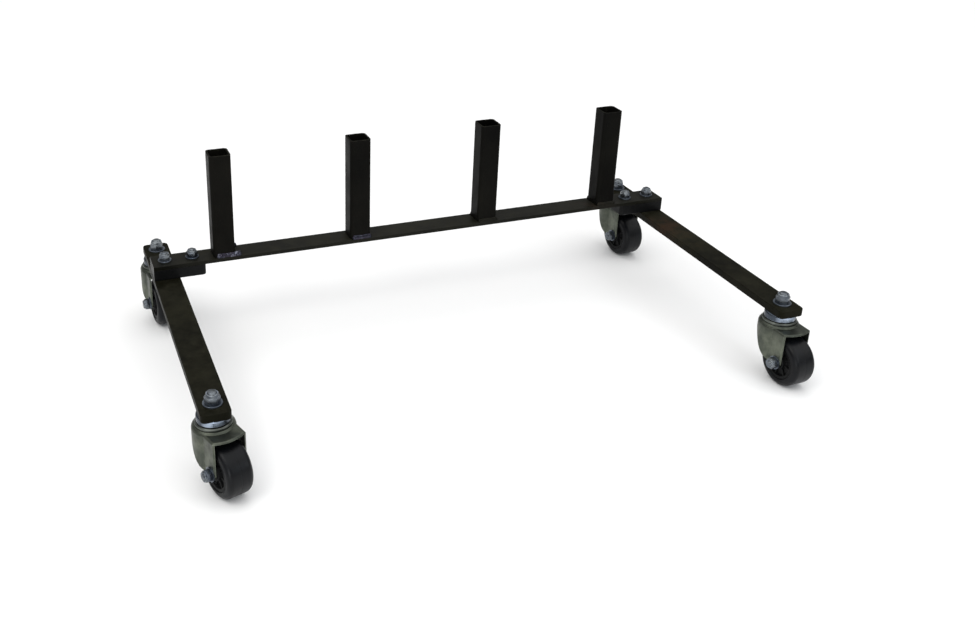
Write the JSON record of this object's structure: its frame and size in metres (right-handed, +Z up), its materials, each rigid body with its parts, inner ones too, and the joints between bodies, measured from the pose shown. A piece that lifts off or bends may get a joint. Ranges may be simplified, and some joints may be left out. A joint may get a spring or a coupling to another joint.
{
  "type": "rolling storage rack",
  "caption": "Low rolling rack: a flat crossbar with upright square tube posts, carried on two long flat legs over swivel casters.",
  "frame": {"origin": "on the floor below the rack's middle: X on the plane midway between the legs, Y at the middle of the overall length with the casters as stored", "axes": "+X along the crossbar, +Y towards the short end of the legs, behind the crossbar, +Z up"},
  "size_m": [0.9389, 0.5766, 0.3153],
  "materials": {
    "frame_paint": "semi-gloss olive-black paint",
    "weld_paint": "rippled weld bead under thin black paint",
    "fork_zinc": "satin zinc-plated pressed steel",
    "race_zinc": "bright zinc-plated steel",
    "hardware_zinc": "bluish zinc-plated fastener",
    "bearing_steel": "polished bearing steel",
    "tyre_rubber": "soft black rubber",
    "wheel_core": "moulded black plastic"
  },
  "bodies": {
    "frame": {"crossbar": "frame_paint", "post_outer_left": "frame_paint", "post_inner_left": "frame_paint", "post_inner_right": "frame_paint", "post_outer_right": "frame_paint", "post_welds": "weld_paint", "leg_left": "frame_paint", "leg_right": "frame_paint", "bracket_left": "frame_paint", "bracket_right": "frame_paint", "bracket_welds": "weld_paint", "frame_bolts": "hardware_zinc", "frame_washers": "hardware_zinc", "frame_nuts": "hardware_zinc", "stem_washers": "hardware_zinc", "stem_nuts": "hardware_zinc", "fl_stem": "hardware_zinc", "fl_upper_race": "race_zinc", "fr_stem": "hardware_zinc", "fr_upper_race": "race_zinc", "rl_stem": "hardware_zinc", "rl_upper_race": "race_zinc", "rr_stem": "hardware_zinc", "rr_upper_race": "race_zinc"},
    "fl_swivel": {"fl_lower_race": "race_zinc", "fl_bearing_balls": "bearing_steel", "fl_fork": "fork_zinc", "fl_axle_bolt": "hardware_zinc", "fl_axle_nut": "hardware_zinc", "fl_axle_washers": "hardware_zinc"},
    "fl_wheel": {"fl_hub_bush": "bearing_steel", "fl_wheel_core": "wheel_core", "fl_tyre": "tyre_rubber"},
    "fr_swivel": {"fr_lower_race": "race_zinc", "fr_bearing_balls": "bearing_steel", "fr_fork": "fork_zinc", "fr_axle_bolt": "hardware_zinc", "fr_axle_nut": "hardware_zinc", "fr_axle_washers": "hardware_zinc"},
    "fr_wheel": {"fr_hub_bush": "bearing_steel", "fr_wheel_core": "wheel_core", "fr_tyre": "tyre_rubber"},
    "rl_swivel": {"rl_lower_race": "race_zinc", "rl_bearing_balls": "bearing_steel", "rl_fork": "fork_zinc", "rl_axle_bolt": "hardware_zinc", "rl_axle_nut": "hardware_zinc", "rl_axle_washers": "hardware_zinc"},
    "rl_wheel": {"rl_hub_bush": "bearing_steel", "rl_wheel_core": "wheel_core", "rl_tyre": "tyre_rubber"},
    "rr_swivel": {"rr_lower_race": "race_zinc", "rr_bearing_balls": "bearing_steel", "rr_fork": "fork_zinc", "rr_axle_bolt": "hardware_zinc", "rr_axle_nut": "hardware_zinc", "rr_axle_washers": "hardware_zinc"},
    "rr_wheel": {"rr_hub_bush": "bearing_steel", "rr_wheel_core": "wheel_core", "rr_tyre": "tyre_rubber"}
  },
  "joints": [
    {"name": "fl_swivel_turn", "type": "hinge", "parent": "frame", "child": "fl_swivel", "pos_m": [-0.43655, -0.21857, 0.1], "axis": [0, 0, 1], "continuous": true},
    {"name": "fl_wheel_roll", "type": "hinge", "parent": "fl_swivel", "child": "fl_wheel", "pos_m": [-0.42682, -0.24853, 0.0381], "axis": [0.9511, 0.309, 0], "continuous": true},
    {"name": "fr_swivel_turn", "type": "hinge", "parent": "frame", "child": "fr_swivel", "pos_m": [0.43655, -0.21857, 0.1], "axis": [0, 0, 1], "continuous": true},
    {"name": "fr_wheel_roll", "type": "hinge", "parent": "fr_swivel", "child": "fr_wheel", "pos_m": [0.43792, -0.25004, 0.0381], "axis": [0.999, 0.0436, 0], "continuous": true},
    {"name": "rl_swivel_turn", "type": "hinge", "parent": "frame", "child": "rl_swivel", "pos_m": [-0.43655, 0.25843, 0.1], "axis": [0, 0, 1], "continuous": true},
    {"name": "rl_wheel_roll", "type": "hinge", "parent": "rl_swivel", "child": "rl_wheel", "pos_m": [-0.4338, 0.22705, 0.0381], "axis": [0.9962, 0.0872, 0], "continuous": true},
    {"name": "rr_swivel_turn", "type": "hinge", "parent": "frame", "child": "rr_swivel", "pos_m": [0.43655, 0.25843, 0.1], "axis": [0, 0, 1], "continuous": true},
    {"name": "rr_wheel_roll", "type": "hinge", "parent": "rr_swivel", "child": "rr_wheel", "pos_m": [0.43902, 0.22703, 0.0381], "axis": [0.9969, 0.0785, 0], "continuous": true}
  ]
}
